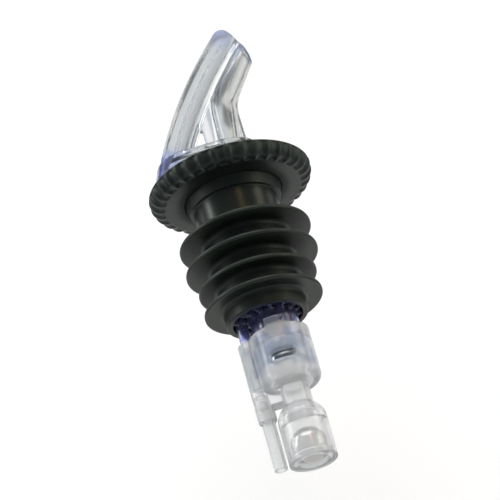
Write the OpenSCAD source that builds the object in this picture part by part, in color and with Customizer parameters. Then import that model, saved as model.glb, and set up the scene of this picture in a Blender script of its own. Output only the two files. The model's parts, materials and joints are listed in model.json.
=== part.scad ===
// Measured liquor pourer: a clear spout with a vent strut, a fluted collar, a finned cork,
// and below it a measuring chamber, a reset valve and a breather, each with a loose steel ball.
// Millimetres, +Z up. The origin is on the cork's axis, in the plane where the collar meets
// the bottle's lip. The spout pours towards +X and its plane of symmetry is XZ.

/* [Collar] */
// Outer diameter of the collar
collar_d = 34; // [31:0.5:40]
// Thickness of the collar's plate
collar_h = 3.3; // [3.2:0.1:4.2]
// Rounding under the collar's edge
edge_round = 2.7; // [2:0.1:2.8]
// Rounding above it
rim_round = 0.4; // [0.2:0.1:0.5]
// Number of grip flutes round the collar's edge
flute_count = 36; // [24:1:37]
// Diameter of the round cutter that scoops out a flute
flute_d = 3.6; // [2.6:0.1:4]
// Depth of a flute
flute_depth = 0.4; // [0.2:0.05:0.5]
// How far a flute runs past the rounding at its upper end, in degrees
flute_run = 5; // [2:1:8]

/* [Cork] */
// Diameter of the cork's top, where it stands in the collar
cork_top_d = 20; // [19:0.1:22]
// Diameter of the wedge ring below it, at the ring's lower edge
cork_ring_d = 18.8; // [18.2:0.1:19]
// Height of that ring
cork_ring_h = 2.2; // [1:0.1:3]
// Diameter of the cork's neck
cork_neck_d = 17.8; // [17.2:0.1:18]
// Diameter of the cork's lower end
cork_end_d = 16.6; // [16:0.1:18]
// How far the cork's top stands in the collar
cork_recess = 0.5; // [0.3:0.1:1]
// Length of the cork below the collar
cork_len = 28.6; // [27:0.1:34]
// Diameter of the two upper fins
upper_fin_d = 27.2; // [24:0.1:29]
// Diameter of the two lower fins
lower_fin_d = 24.2; // [21:0.1:26]
// Depth of the first fin's rim below the collar
first_fin = 10.1; // [8:0.1:11]
// Distance from the first fin to the second
upper_fin_gap = 5.6; // [4:0.1:6]
// Distance from each later fin to the next
lower_fin_gap = 4.7; // [4:0.1:5.2]
// Thickness of a fin at its rim
fin_rim = 0.8; // [0.5:0.1:1.2]
// Thickness of a fin at its root
fin_root = 1.8; // [1.2:0.1:2.4]
// How far a fin's rim hangs below its root
fin_droop = 0.6; // [0:0.1:1.2]

/* [Pour tube] */
// Distance of the upright tube from the cork's axis
tube_x = 3.1; // [2:0.1:3.6]
// Outer diameter of the tube at its foot
tube_foot_d = 6.1; // [5.6:0.1:7]
// Outer diameter of the tube at its elbow
tube_d = 5.6; // [5.2:0.1:6.4]
// Outer diameter of the tube at its mouth
mouth_d = 4.9; // [4.6:0.1:5.6]
// Bore that the liquid runs through
pour_bore = 3.6; // [2.6:0.1:3.9]
// Height of the elbow above the collar's underside
elbow_z = 21.9; // [19:0.1:24]
// Radius of the elbow along its middle
elbow_r = 11; // [6:0.5:13]
// Lean of the tube above its elbow, in degrees from upright
tube_lean = 34.5; // [30:0.5:38]
// Radius of the rounded cut across the spout's mouth
mouth_cut_r = 17; // [14:0.5:30]
// Distance of that cut from the cork's axis, halfway up the mouth
mouth_x = 10; // [9.4:0.1:11]
// Height of that place
mouth_z = 34; // [32:0.1:36]
// Slope of the cut there, in degrees
mouth_slope = 28; // [22:1:32]
// Rounding of the spout's tip, seen from the side
tip_r = 2; // [1:0.1:3]

/* [Vent strut] */
// Distance of the strut's foot from the cork's axis
strut_foot = 12.3; // [11.8:0.1:13]
// Width of the strut, seen from the side
strut_w = 6; // [5:0.1:7]
// Thickness of the strut, seen from the front
strut_t = 6; // [5:0.1:7]
// Rounding of the strut's outer edges
strut_edge = 0.8; // [0.4:0.1:1.4]
// Lean of the strut's foot, in degrees from upright
strut_lean = 19; // [17:0.2:21]
// Radius of the strut's long curve
strut_r = 85; // [78:0.5:100]
// Air passage in the strut
strut_bore = 2; // [1.4:0.1:2.6]
// Thickness of the web between the strut and the tube
web_t = 2.6; // [1.6:0.1:4]
// Distance from the cork's axis to the open triangle's upright edge
gap_x = 2.5; // [2:0.1:3.5]

/* [Pedestal] */
// Height of the pedestal's top above the collar's underside
pedestal_z = 10.3; // [9:0.1:12]
// Width of the pedestal at its top
pedestal_w = 13.2; // [12:0.1:15]
// Slope of the pedestal's sides, in degrees from upright
pedestal_draft = 20; // [15:0.5:25]
// How far the pedestal stands out past the strut's outer line
pedestal_lip = 0.6; // [0.1:0.1:0.8]
// Depth of the spout's spigot below the collar's underside
spigot_len = 9; // [7:0.1:10]
// Diameter of that spigot
spigot_d = 14.1; // [13.8:0.1:14.6]

/* [Timing barrel] */
// Distance of the barrel's axis from the cork's axis
barrel_x = 1.1; // [0.9:0.05:1.2]
// Timing ball, 5/16 inch
timing_ball_d = 7.94; // [7:0.01:8.1]
// Play round the timing ball in its barrel
timing_play = 0.23; // [0.15:0.01:0.3]
// Wall of the barrel
barrel_wall = 0.65; // [0.5:0.05:0.7]
// Depth of the barrel's socket in the spout
barrel_socket = 8; // [6:0.1:8.5]
// Depth of the barrel's lower end in the chamber
barrel_plug = 2.5; // [1.8:0.1:3.2]
// Number of centring ribs round the barrel
rib_count = 14; // [8:2:18]
// Thickness of one rib
rib_t = 0.8; // [0.5:0.1:1.1]

/* [Measuring chamber] */
// Outer diameter of the chamber
chamber_d = 12.3; // [12:0.1:12.8]
// Height of the chamber
chamber_h = 11.5; // [10.5:0.1:14]
// Open space between the cork's end and the chamber's rim
chamber_drop = 3.7; // [3:0.1:5]
// Rounding of the chamber's lower edge
chamber_round = 1.8; // [0.8:0.1:2.2]
// Play round the timing ball in the chamber
chamber_play = 0.33; // [0.2:0.01:0.5]
// Thickness of the chamber's floor
floor_t = 1.2; // [0.8:0.1:1.8]
// Drain hole in the floor
drain_d = 4.2; // [3:0.1:4.6]
// Width of each inlet slot
slot_w = 5; // [3:0.1:6]
// Height of each inlet slot
slot_h = 2; // [1.4:0.1:2.8]
// Rounding of a slot's corners
slot_edge = 0.6; // [0.2:0.1:0.6]
// Height of the slots above the middle of the resting ball
slot_rise = 0.4; // [0:0.1:1]
// Width of each snap tab on the rim
tab_w = 4.1; // [3:0.1:5]
// Height of each snap tab
tab_h = 1.8; // [1.4:0.1:2.4]
// Diameter of the snap pip in each tab
pip_d = 0.8; // [0.5:0.05:1]

/* [Breather] */
// Distance of the breather's axis from the cork's axis
breather_x = 5.4; // [5.35:0.05:5.6]
// Outer diameter of the breather sleeve
sleeve_d = 3.8; // [3.6:0.1:4.2]
// How far the sleeve's rim lies below the chamber's rim
sleeve_drop = 0.3; // [0:0.1:1]
// How far the sleeve reaches below the chamber
sleeve_below = 6.1; // [5.4:0.1:6.4]
// Thickness of the web that ties the sleeve to the chamber
sleeve_web = 3.7; // [2:0.1:3.7]
// Air passage of the breather
vent_bore = 1.5; // [1.1:0.1:1.6]
// Outer diameter of the vent tube beside the barrel
vent_tube_d = 2.4; // [2.1:0.1:2.5]
// Wall between the vent tube's lower end and the breather's seat
vent_stop = 1.2; // [0.8:0.1:4]
// Breather ball, 3/32 inch
breather_ball_d = 2.38; // [2:0.01:2.5]
// Play round the breather ball
breather_play = 0.21; // [0.12:0.01:0.25]
// Travel of the breather ball
breather_travel = 1; // [0.6:0.1:1.4]
// Length of the tail tube that shows below the sleeve
tail_len = 10; // [6:0.1:10.4]
// Depth of the tail tube in the sleeve
tail_plug = 2.5; // [1.8:0.1:2.8]
// Bore of the tail tube
tail_bore = 1.6; // [1.1:0.1:1.8]

/* [Valve cage] */
// Diameter of the neck below the chamber
neck_d = 6.2; // [5.8:0.1:7]
// Length of that neck
neck_h = 4.3; // [3.6:0.1:5]
// Depth of the neck's plug in the cage
neck_plug = 2; // [1.4:0.1:2.4]
// Wall of that plug
neck_plug_wall = 0.6; // [0.5:0.05:0.8]
// Outer diameter of the cage
cage_d = 9.7; // [9.5:0.1:10.4]
// Height of the cage
cage_h = 11.8; // [11:0.1:14]
// Rounding of the cage's shoulder
cage_round = 3.8; // [3:0.1:4]
// Reset ball, 9/32 inch
reset_ball_d = 7.14; // [6.6:0.01:7.2]
// Play round the reset ball
reset_play = 0.33; // [0.2:0.01:0.4]
// Height of the cap ring in the cage's mouth
cap_h = 1.4; // [1:0.1:2]
// Wall of the cage round the cap ring
cap_rim = 0.5; // [0.4:0.05:0.6]
// Hole in the cap ring
cap_hole_d = 6.1; // [5:0.1:6.3]

/* [Fits] */
// Radial clearance where one moulding pushes into another
push_gap = 0.05; // [0.02:0.01:0.08]
// Space between a resting ball and its seat
seat_gap = 0.2; // [0.1:0.05:0.3]
// Angle of the ball seats, in degrees from the axis
seat_angle = 40; // [36:1:46]

/* [Hidden] */
$fn = 96;

CLEAR = [0.86, 0.90, 0.95, 0.55];
TINTED = [0.30, 0.30, 0.62, 0.70];
RUBBER = [0.16, 0.17, 0.16];
STEEL = [0.72, 0.73, 0.75];

// How far a cutter runs past the face that it opens
over = 1;
// Step at each end of the elbow, and how far the straight lengths run into it
seam = 0.03;
seam_len = 0.4;

// Radii that several pieces share
timing_r = timing_ball_d / 2;
reset_r = reset_ball_d / 2;
breather_r = breather_ball_d / 2;
barrel_bore_r = timing_r + timing_play;
barrel_r = barrel_bore_r + barrel_wall;
chamber_bore_r = timing_r + chamber_play;
cage_bore_r = reset_r + reset_play;
breather_bore_r = breather_r + breather_play;
neck_plug_r = drain_d / 2 + neck_plug_wall;
cap_r = cage_d / 2 - cap_rim - push_gap;
cork_bore_r = spigot_d / 2 + push_gap;

// Heights, from the collar down
spigot_end = -spigot_len;
barrel_top = spigot_end + barrel_socket;
cork_end = -cork_len;
chamber_top = cork_end - chamber_drop;
chamber_end = chamber_top - chamber_h;
barrel_end = chamber_top - barrel_plug;
floor_z = chamber_end + floor_t;
neck_end = chamber_end - neck_h;
cage_end = neck_end - cage_h;
cap_top = cage_end + cap_h;
sleeve_top = chamber_top - sleeve_drop;
sleeve_end = chamber_end - sleeve_below;
tail_top = sleeve_end + tail_plug;
tail_end = sleeve_end - tail_len;

// Height of a ball's centre above the rim of the hole that it rests on
function rest_height(ball_r, hole_r) = sqrt(pow(ball_r, 2) - pow(hole_r, 2)) + seat_gap;
timing_z = floor_z + rest_height(timing_r, drain_d / 2);
reset_z = cap_top + rest_height(reset_r, cap_hole_d / 2);
breather_z = tail_top + rest_height(breather_r, tail_bore / 2);
breather_seat = breather_z + breather_travel + rest_height(breather_r, vent_bore / 2);
vent_end = breather_seat + vent_stop;

// Length of a conical seat that narrows from one radius to another
function seat_len(wide_r, narrow_r) = (wide_r - narrow_r) / tan(seat_angle);
timing_seat_len = seat_len(barrel_bore_r, pour_bore / 2);
reset_seat_top = neck_end - neck_plug;
reset_seat_len = seat_len(cage_bore_r, drain_d / 2);

// Travel of a ball from its rest to the cone above it
function cone_stop(ball_r, wide_r, wide_z) =
  wide_z + wide_r / tan(seat_angle) - ball_r / sin(seat_angle) - seat_gap;
timing_travel = cone_stop(timing_r, barrel_bore_r, barrel_top) - timing_z;
reset_travel = cone_stop(reset_r, cage_bore_r, reset_seat_top - reset_seat_len) - reset_z;
echo(timing_travel = timing_travel, reset_travel = reset_travel, breather_travel = breather_travel);
echo(timing_z = timing_z, reset_z = reset_z, breather_z = breather_z);

// The strut's middle line is one long curve from the collar towards the mouth
strut_centre = [-strut_foot, collar_h] + strut_r * [cos(strut_lean), -sin(strut_lean)];
strut_top_lean = asin((mouth_z + 2 * mouth_d - strut_centre[1]) / (strut_r + strut_w / 2));
strut_start = strut_lean + (strut_w / 2 * tan(strut_lean) + strut_edge) / strut_r * 180 / PI;

// Upper point at the given distances from two centres, the first one to the right
function meeting_point(c1, r1, c2, r2) =
  let(gap = norm(c2 - c1), dir = (c2 - c1) / gap, along = (r1 * r1 - r2 * r2 + gap * gap) / (2 * gap))
  c1 + along * dir + sqrt(r1 * r1 - along * along) * [dir[1], -dir[0]];

// The cut across the mouth is part of a large cylinder. A small one rounds the tip, where it
// touches the cut and runs just past the strut's outer line
mouth_centre = [mouth_x, mouth_z] - mouth_cut_r * [cos(mouth_slope), sin(mouth_slope)];
tip_centre = meeting_point(strut_centre, strut_r + strut_w / 2 - tip_r + seam,
                           mouth_centre, mouth_cut_r - tip_r);
mouth_reach = (mouth_z - elbow_z) / cos(tube_lean) + mouth_d;

// The pedestal's sides slope in from the collar to its top
pedestal_h = pedestal_z - collar_h;
pedestal_r = pedestal_w / 2;
pedestal_foot_r = pedestal_r + pedestal_h * tan(pedestal_draft);
strut_flank = strut_foot + strut_w / 2 / cos(strut_lean) + pedestal_lip;
pedestal_left = pedestal_foot_r - strut_flank;
vent_z = collar_h + pedestal_h / 2;
vent_lean = asin((vent_z - strut_centre[1]) / strut_r);
vent_meet = strut_r * cos(vent_lean) - strut_centre[0];

// Turns a shape made along local X and Y into the plane of symmetry
module in_side_plane() rotate([90, 0, 0]) children();

// A solid of revolution with a rounded lower or upper edge; round_up says which
module rounded_can(r, h, edge, round_up = false) {
  rotate_extrude() {
    translate([0, round_up ? 0 : edge]) square([r, h - edge]);
    square([r - edge, h]);
    intersection() {
      translate([r - edge, round_up ? h - edge : edge]) circle(edge);
      translate([r - edge, 0]) square([edge, h]);
    }
  }
}

// A bent round bar that follows the collar's rounded edge, and cuts one flute of even depth
module flute_cutter() {
  translate([collar_d / 2 - edge_round, 0, edge_round]) in_side_plane()
    rotate([0, 0, -90]) rotate_extrude(angle = 90 + flute_run)
      translate([edge_round - flute_depth + flute_d / 2, 0]) circle(d = flute_d);
}

// Section of the vent strut: square-edged outside, round towards the tube
module strut_section() {
  half = strut_t / 2;
  nose = strut_w / 2;
  translate([-nose, -half + strut_edge]) square([nose, strut_t - 2 * strut_edge]);
  translate([-nose + strut_edge, -half]) square([nose - strut_edge, strut_t]);
  for (side = [-1, 1])
    translate([-nose + strut_edge, side * (half - strut_edge)]) circle(strut_edge);
  intersection() {
    translate([nose - max(half, nose), 0]) circle(max(half, nose));
    translate([0, -half]) square([nose, strut_t]);
  }
}

// Sweeps a profile along the strut's curve, from one lean to another
module along_strut(from, to) {
  translate([strut_centre[0], 0, strut_centre[1]]) in_side_plane()
    rotate([0, 0, 180 - to]) rotate_extrude(angle = to - from, $fn = 360)
      translate([strut_r, 0]) mirror([1, 0]) children();
}

// The body that ends in the curved cut of the mouth and the rounded tip, and is whole below the elbow
module mouth_body() {
  to_cut = tip_centre - mouth_centre;
  to_strut = tip_centre - strut_centre;
  corner = [tip_centre, tip_centre + to_cut, tip_centre + to_cut + to_strut / 2, tip_centre + to_strut / 2];
  in_side_plane() linear_extrude(4 * strut_t, center = true) {
    difference() {
      translate(mouth_centre) circle(mouth_cut_r, $fn = 360);
      polygon(corner);
    }
    translate(tip_centre) circle(tip_r);
    translate([-strut_flank, collar_h])
      square([strut_flank + tube_x + tube_foot_d, elbow_z - collar_h]);
  }
}

// Leans a child, made upright at the origin, like the tube above its elbow
module at_elbow() {
  translate([tube_x, 0, elbow_z]) rotate([0, tube_lean, 0]) children();
}

// Outside of the pour tube: a tapered foot, a smooth elbow and a tapered upper length,
// whose ends run a little way into the elbow, just below its surface
module tube_outside() {
  tangent = elbow_r * tan(tube_lean / 2);
  inside_d = tube_d - 2 * seam;
  translate([tube_x, 0, collar_h])
    cylinder(d1 = tube_foot_d, d2 = inside_d, h = elbow_z - tangent - collar_h + seam_len);
  translate([tube_x + elbow_r, 0, elbow_z - tangent]) in_side_plane()
    rotate([0, 0, 180 - tube_lean]) rotate_extrude(angle = tube_lean)
      translate([elbow_r, 0]) circle(d = tube_d);
  at_elbow() translate([0, 0, tangent - seam_len])
    cylinder(d1 = inside_d, d2 = mouth_d, h = mouth_reach - tangent + seam_len);
}

// Flat web that ties the tube to the strut and leaves the open triangle below
module web() {
  reach = mouth_reach * [sin(tube_lean), cos(tube_lean)];
  outline = [[-gap_x, collar_h], [tube_x, collar_h], [tube_x, elbow_z],
             [tube_x, elbow_z] + reach, [-gap_x, elbow_z + 2 * reach[1]]];
  intersection() {
    in_side_plane() linear_extrude(web_t, center = true) polygon(outline);
    translate([strut_centre[0], 0, strut_centre[1]]) in_side_plane()
      cylinder(r = strut_r, h = 2 * web_t, center = true, $fn = 360);
  }
}

// Pedestal with sloping sides and two round ends
module pedestal() {
  span = barrel_x - pedestal_left;
  translate([0, 0, collar_h]) {
    for (x = [pedestal_left, barrel_x])
      translate([x, 0, 0]) cylinder(r1 = pedestal_foot_r, r2 = pedestal_r, h = pedestal_h);
    translate([pedestal_left, 0, 0]) rotate([90, 0, 90]) linear_extrude(span)
      polygon([[-pedestal_foot_r, 0], [pedestal_foot_r, 0],
               [pedestal_r, pedestal_h], [-pedestal_r, pedestal_h]]);
  }
}

// Passages of the spout: the liquid's way out and the air's way in
module spout_passages() {
  rise = [tube_x - barrel_x, elbow_z - barrel_top];
  translate([barrel_x, 0, spigot_end - over])
    cylinder(r = barrel_r + push_gap, h = barrel_socket + over);
  translate([barrel_x, 0, barrel_top])
    cylinder(r1 = barrel_bore_r, r2 = pour_bore / 2, h = timing_seat_len);
  translate([barrel_x, 0, barrel_top]) rotate([0, atan2(rise[0], rise[1]), 0])
    cylinder(d = pour_bore, h = norm(rise) + pour_bore / 4);
  at_elbow() cylinder(d = pour_bore, h = mouth_reach + mouth_d);
  translate([-breather_x, 0, spigot_end - over])
    cylinder(d = vent_tube_d + 2 * push_gap, h = barrel_socket + over);
  translate([-breather_x, 0, barrel_top - over])
    cylinder(d = vent_bore, h = vent_z - barrel_top + over);
  translate([-vent_meet, 0, vent_z]) rotate([0, 90, 0])
    cylinder(d = vent_bore, h = vent_meet - breather_x);
  along_strut(vent_lean - vent_bore / strut_r * 90 / PI, strut_top_lean) circle(d = strut_bore);
}

module pour_spout() color(CLEAR) difference() {
  union() {
    pedestal();
    translate([0, 0, spigot_end]) cylinder(d = spigot_d, h = spigot_len + collar_h + over);
    intersection() {
      union() {
        along_strut(strut_start, strut_top_lean) strut_section();
        web();
        tube_outside();
      }
      mouth_body();
    }
  }
  spout_passages();
}

// The collar's plate, with a large rounding under its edge and a small one above
module collar_plate() {
  edge_r = collar_d / 2;
  rotate_extrude() {
    square([edge_r - edge_round, collar_h]);
    translate([0, edge_round]) square([edge_r, collar_h - edge_round - rim_round]);
    translate([0, edge_round]) square([edge_r - rim_round, collar_h - edge_round]);
    intersection() {
      translate([edge_r - edge_round, edge_round]) circle(edge_round);
      translate([edge_r - edge_round, 0]) square(edge_round);
    }
    intersection() {
      translate([edge_r - rim_round, collar_h - rim_round]) circle(rim_round);
      translate([edge_r - rim_round, collar_h - rim_round]) square(rim_round);
    }
  }
}

module collar() color(RUBBER) difference() {
  collar_plate();
  translate([0, 0, -over]) cylinder(r = cork_bore_r, h = collar_h + 2 * over);
  translate([0, 0, -over]) cylinder(r = cork_top_d / 2 + push_gap, h = cork_recess + over);
  for (i = [0 : flute_count - 1])
    rotate([0, 0, 360 * i / flute_count]) flute_cutter();
}

// Radius of the cork's core at a depth below the collar
function core_r(depth) = (cork_neck_d + (cork_end_d - cork_neck_d) * depth / cork_len) / 2;

// Outline of one fin, from the core above it to the core below it
function fin_outline(depth, d) =
  let(root = depth - fin_droop, top = root - fin_root / 2, low = root + fin_root / 2)
  [[core_r(top), -top], [d / 2, -depth + fin_rim / 2], [d / 2, -depth - fin_rim / 2], [core_r(low), -low]];

fin_depths = [first_fin, for (i = [0 : 2]) first_fin + upper_fin_gap + i * lower_fin_gap];
fin_ds = [upper_fin_d, upper_fin_d, lower_fin_d, lower_fin_d];

module cork() color(RUBBER) rotate_extrude() {
  fins = [for (i = [0 : len(fin_depths) - 1]) each fin_outline(fin_depths[i], fin_ds[i])];
  ring = [[cork_top_d / 2, cork_recess], [cork_top_d / 2, 0],
          [cork_ring_d / 2, -cork_ring_h], [core_r(cork_ring_h), -cork_ring_h]];
  polygon(concat([[cork_bore_r, cork_recess]], ring, fins,
                 [[cork_end_d / 2, cork_end], [cork_bore_r, cork_end]]));
}

// Ribs that centre the barrel in the cork, trimmed to the cork's bore
module barrel_ribs() {
  rib_h = spigot_end - cork_end;
  translate([0, 0, cork_end]) intersection() {
    cylinder(r = spigot_d / 2, h = rib_h);
    translate([barrel_x, 0, 0]) for (i = [0 : rib_count / 2 - 1])
      rotate([0, 0, 180 * (i + 0.5) / (rib_count / 2)])
        translate([-spigot_d, -rib_t / 2, 0]) cube([2 * spigot_d, rib_t, rib_h]);
  }
}

module timing_barrel() color(TINTED) difference() {
  union() {
    translate([barrel_x, 0, barrel_end]) cylinder(r = barrel_r, h = barrel_top - barrel_end);
    translate([-breather_x, 0, vent_end]) cylinder(d = vent_tube_d, h = barrel_top - vent_end);
    translate([-breather_x, -rib_t / 2, cork_end]) cube([breather_x, rib_t, spigot_end - cork_end]);
    barrel_ribs();
    for (side = [-1, 1]) tab_place(side) cylinder(d = pip_d, h = chamber_d / 2 - barrel_r);
  }
  translate([barrel_x, 0, barrel_end - over])
    cylinder(r = barrel_bore_r, h = barrel_top - barrel_end + 2 * over);
  translate([-breather_x, 0, vent_end - over])
    cylinder(d = vent_bore, h = barrel_top - vent_end + 2 * over);
}

// Places a child on the barrel's wall where a snap tab's pip is, pointing outwards
module tab_place(side) {
  along = barrel_x + tab_w / 2 - pip_d;
  translate([along, side * (barrel_r - barrel_wall / 2), chamber_top + tab_h - pip_d])
    rotate([-90 * side, 0, 0]) children();
}

// Snap tabs, cut out of the ring that the chamber's wall would make if it were taller
module snap_tabs() {
  translate([barrel_x, 0, chamber_top - over]) difference() {
    intersection() {
      cylinder(d = chamber_d, h = tab_h + over);
      translate([-tab_w / 2, -chamber_d, 0]) cube([tab_w, 2 * chamber_d, tab_h + over]);
    }
    translate([0, 0, -over]) cylinder(r = barrel_r + push_gap, h = tab_h + 3 * over);
  }
}

// A slot with rounded corners through both sides of the chamber
module inlet_slots() {
  corner = [slot_w, slot_h] / 2 - [slot_edge, slot_edge];
  translate([barrel_x, 0, timing_z + slot_rise]) in_side_plane()
    linear_extrude(2 * chamber_d, center = true) {
      square([slot_w, 2 * corner[1]], center = true);
      square([2 * corner[0], slot_h], center = true);
      for (x = [-1, 1], y = [-1, 1]) translate([x * corner[0], y * corner[1]]) circle(slot_edge);
    }
}

module chamber_outside() {
  translate([barrel_x, 0, chamber_end]) rounded_can(chamber_d / 2, chamber_h, chamber_round);
  translate([barrel_x, 0, neck_end]) cylinder(d = neck_d, h = neck_h + floor_t);
  translate([barrel_x, 0, neck_end - neck_plug]) cylinder(r = neck_plug_r, h = neck_plug + over);
  translate([-breather_x, 0, sleeve_end])
    rounded_can(sleeve_d / 2, sleeve_top - sleeve_end, sleeve_d / 6);
  translate([-breather_x, -sleeve_web / 2, neck_end + floor_t])
    cube([breather_x, sleeve_web, sleeve_top - neck_end - 2 * floor_t]);
  snap_tabs();
}

module measuring_chamber() color(CLEAR) difference() {
  chamber_outside();
  translate([barrel_x, 0, floor_z]) cylinder(r = chamber_bore_r, h = chamber_h + over);
  translate([barrel_x, 0, barrel_end])
    cylinder(r = barrel_r + push_gap, h = barrel_plug + tab_h + over);
  translate([barrel_x, 0, neck_end - neck_plug - over]) cylinder(d = drain_d, h = chamber_h);
  inlet_slots();
  for (side = [-1, 1]) tab_place(side) cylinder(r = pip_d / 2 + push_gap, h = chamber_d);
  translate([-breather_x, 0, sleeve_end - over])
    cylinder(d = vent_bore, h = chamber_h + sleeve_below + 2 * over);
  translate([-breather_x, 0, sleeve_end - over])
    cylinder(r = breather_bore_r, h = breather_seat - sleeve_end + over);
  translate([-breather_x, 0, vent_end])
    cylinder(r = vent_tube_d / 2 + push_gap, h = sleeve_top - vent_end + over);
}

module valve_cage() color(CLEAR) translate([barrel_x, 0, cage_end]) difference() {
  seat_top = reset_seat_top - cage_end;
  bore_h = seat_top - reset_seat_len;
  intersection() {
    rounded_can(cage_d / 2, cage_h + cage_round / 6, cage_round, round_up = true);
    cylinder(d = 2 * cage_d, h = cage_h);
  }
  translate([0, 0, seat_top]) cylinder(r = neck_plug_r + push_gap, h = neck_plug + over);
  translate([0, 0, seat_top - over]) cylinder(d = drain_d, h = 2 * over);
  translate([0, 0, bore_h]) cylinder(r1 = cage_bore_r, r2 = drain_d / 2, h = reset_seat_len);
  translate([0, 0, -over]) cylinder(r = cage_bore_r, h = bore_h + over);
  translate([0, 0, -over]) cylinder(r = cap_r + push_gap, h = cap_h + over);
}

module cage_cap() color(CLEAR) translate([barrel_x, 0, cage_end]) difference() {
  cylinder(r = cap_r, h = cap_h);
  translate([0, 0, -over]) cylinder(d = cap_hole_d, h = cap_h + 2 * over);
}

module breather_tail() color(CLEAR) translate([-breather_x, 0, tail_end]) difference() {
  cylinder(r = breather_bore_r - push_gap, h = tail_top - tail_end);
  translate([0, 0, -over]) cylinder(d = tail_bore, h = tail_top - tail_end + 2 * over);
}

module timing_ball() color(STEEL) translate([barrel_x, 0, timing_z]) sphere(r = timing_r);

module reset_ball() color(STEEL) translate([barrel_x, 0, reset_z]) sphere(r = reset_r);

module breather_ball() color(STEEL) translate([-breather_x, 0, breather_z]) sphere(r = breather_r);

pour_spout();
collar();
cork();
timing_barrel();
measuring_chamber();
valve_cage();
cage_cap();
breather_tail();
timing_ball();
reset_ball();
breather_ball();
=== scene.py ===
# %% [markdown]
# # A ball-timed bottle pourer
# The pourer is a clear bent spout on a black fluted collar, a finned rubber cork, and below the cork a
# measuring chamber, a reset valve and a breather, each with a loose steel ball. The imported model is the
# fixed frame: every piece that is made here sits where its solid sits and rides on the same body.

# %% Load the frame
import json
import math

import bmesh
import bpy
from mathutils import Matrix, Vector

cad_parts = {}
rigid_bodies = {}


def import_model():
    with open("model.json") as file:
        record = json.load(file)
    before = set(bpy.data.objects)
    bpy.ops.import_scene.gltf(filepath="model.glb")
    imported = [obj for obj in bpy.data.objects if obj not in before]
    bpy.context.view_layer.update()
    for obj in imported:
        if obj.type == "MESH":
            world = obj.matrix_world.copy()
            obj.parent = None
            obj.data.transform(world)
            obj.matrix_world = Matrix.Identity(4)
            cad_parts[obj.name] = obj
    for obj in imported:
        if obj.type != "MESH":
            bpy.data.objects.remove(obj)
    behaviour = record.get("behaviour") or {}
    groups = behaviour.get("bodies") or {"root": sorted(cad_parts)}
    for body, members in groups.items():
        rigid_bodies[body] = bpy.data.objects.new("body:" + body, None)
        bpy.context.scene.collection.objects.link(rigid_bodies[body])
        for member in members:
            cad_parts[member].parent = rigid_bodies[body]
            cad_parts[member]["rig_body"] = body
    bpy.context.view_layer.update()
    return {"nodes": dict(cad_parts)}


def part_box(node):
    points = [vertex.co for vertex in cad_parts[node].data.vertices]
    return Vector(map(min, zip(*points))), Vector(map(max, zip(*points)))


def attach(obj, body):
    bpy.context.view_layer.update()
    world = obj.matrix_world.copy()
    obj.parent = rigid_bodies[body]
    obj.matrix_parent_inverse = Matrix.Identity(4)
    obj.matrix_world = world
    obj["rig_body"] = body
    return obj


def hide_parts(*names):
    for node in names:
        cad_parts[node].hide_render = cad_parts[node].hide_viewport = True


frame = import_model()
MM = 0.001
print("nodes:", ", ".join(sorted(frame["nodes"])))

# %% [markdown]
# ## Camera
# The photograph looks up at the collar's underside from about 26 degrees below it, with the pourer
# leaning to the left in the picture. A long lens keeps the near and far rims of the collar almost the same
# size. The camera could be turned by hand, but three vectors say the same thing exactly: back, right and
# up, rolled about back.

# %% Place the camera
CAMERA_ELEVATION = math.radians(-26.3)
CAMERA_ROLL = math.radians(-15.83)
CAMERA_DISTANCE = 473.3 * MM
CAMERA_LENS = 170.1
AIM = Vector((0, 0, -16.15)) * MM
AIM_RIGHT = -0.573 * MM
AIM_UP = 3.203 * MM

back = Vector((0, -math.cos(CAMERA_ELEVATION), math.sin(CAMERA_ELEVATION)))
flat_right = Vector((1, 0, 0))
flat_up = back.cross(flat_right)
right = math.cos(CAMERA_ROLL) * flat_right + math.sin(CAMERA_ROLL) * flat_up
up = back.cross(right)
eye = AIM + CAMERA_DISTANCE * back + AIM_RIGHT * right + AIM_UP * up

camera = bpy.data.objects.new("camera", bpy.data.cameras.new("camera"))
camera.data.lens = CAMERA_LENS
camera.matrix_world = Matrix.Translation(eye) @ Matrix((right, up, back)).transposed().to_4x4()
bpy.context.scene.collection.objects.link(camera)
bpy.context.scene.camera = camera
print("camera at", [round(v, 4) for v in eye])

# %% [markdown]
# ## Shader maths
# A wire is one socket in a tree of shader nodes, and arithmetic on wires adds Math nodes, so a mask reads
# like a formula. The same nodes could be placed by hand in the shader editor, but there a formula is hard
# to read back. Most masks here are a step along some distance, so a wire can rise or fall over a span of
# millimetres.

# %% Write shader maths as expressions
class Wire:
    """One output socket of a tree; operators on it add Math nodes."""

    def __init__(self, tree, socket):
        self.tree = tree
        self.socket = socket

    def math(self, operation, *values):
        return self.tree.node("ShaderNodeMath", {"operation": operation}, dict(enumerate(values)))

    def __add__(self, other):
        return self.math("ADD", self, other)

    def __sub__(self, other):
        return self.math("SUBTRACT", self, other)

    def __rsub__(self, other):
        return self.math("SUBTRACT", other, self)

    def __mul__(self, other):
        return self.math("MULTIPLY", self, other)

    __radd__ = __add__
    __rmul__ = __mul__

    def larger(self, other):
        """The larger of two values."""
        return self.math("MAXIMUM", self, other)

    def ramp(self, low, high):
        """0 below low, 1 above high, smooth between them."""
        settings = {"interpolation_type": "SMOOTHSTEP"}
        values = {"Value": self, "From Min": low, "From Max": high}
        return self.tree.node("ShaderNodeMapRange", settings, values)

    def rise(self, span):
        """0 before a span of millimetres, 1 past it."""
        start, end = span
        return self.ramp(start * MM, end * MM)

    def fall(self, span):
        """1 before a span of millimetres, 0 past it."""
        return 1.0 - self.rise(span)


# %% [markdown]
# Every other node comes from one method, which sets the node's own settings first and its sockets next.
# A material and the world both hold such a tree. A finish is a material with one Principled shader, and
# its patterns read Object coordinates, so they stay on the piece wherever its body goes.

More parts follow.
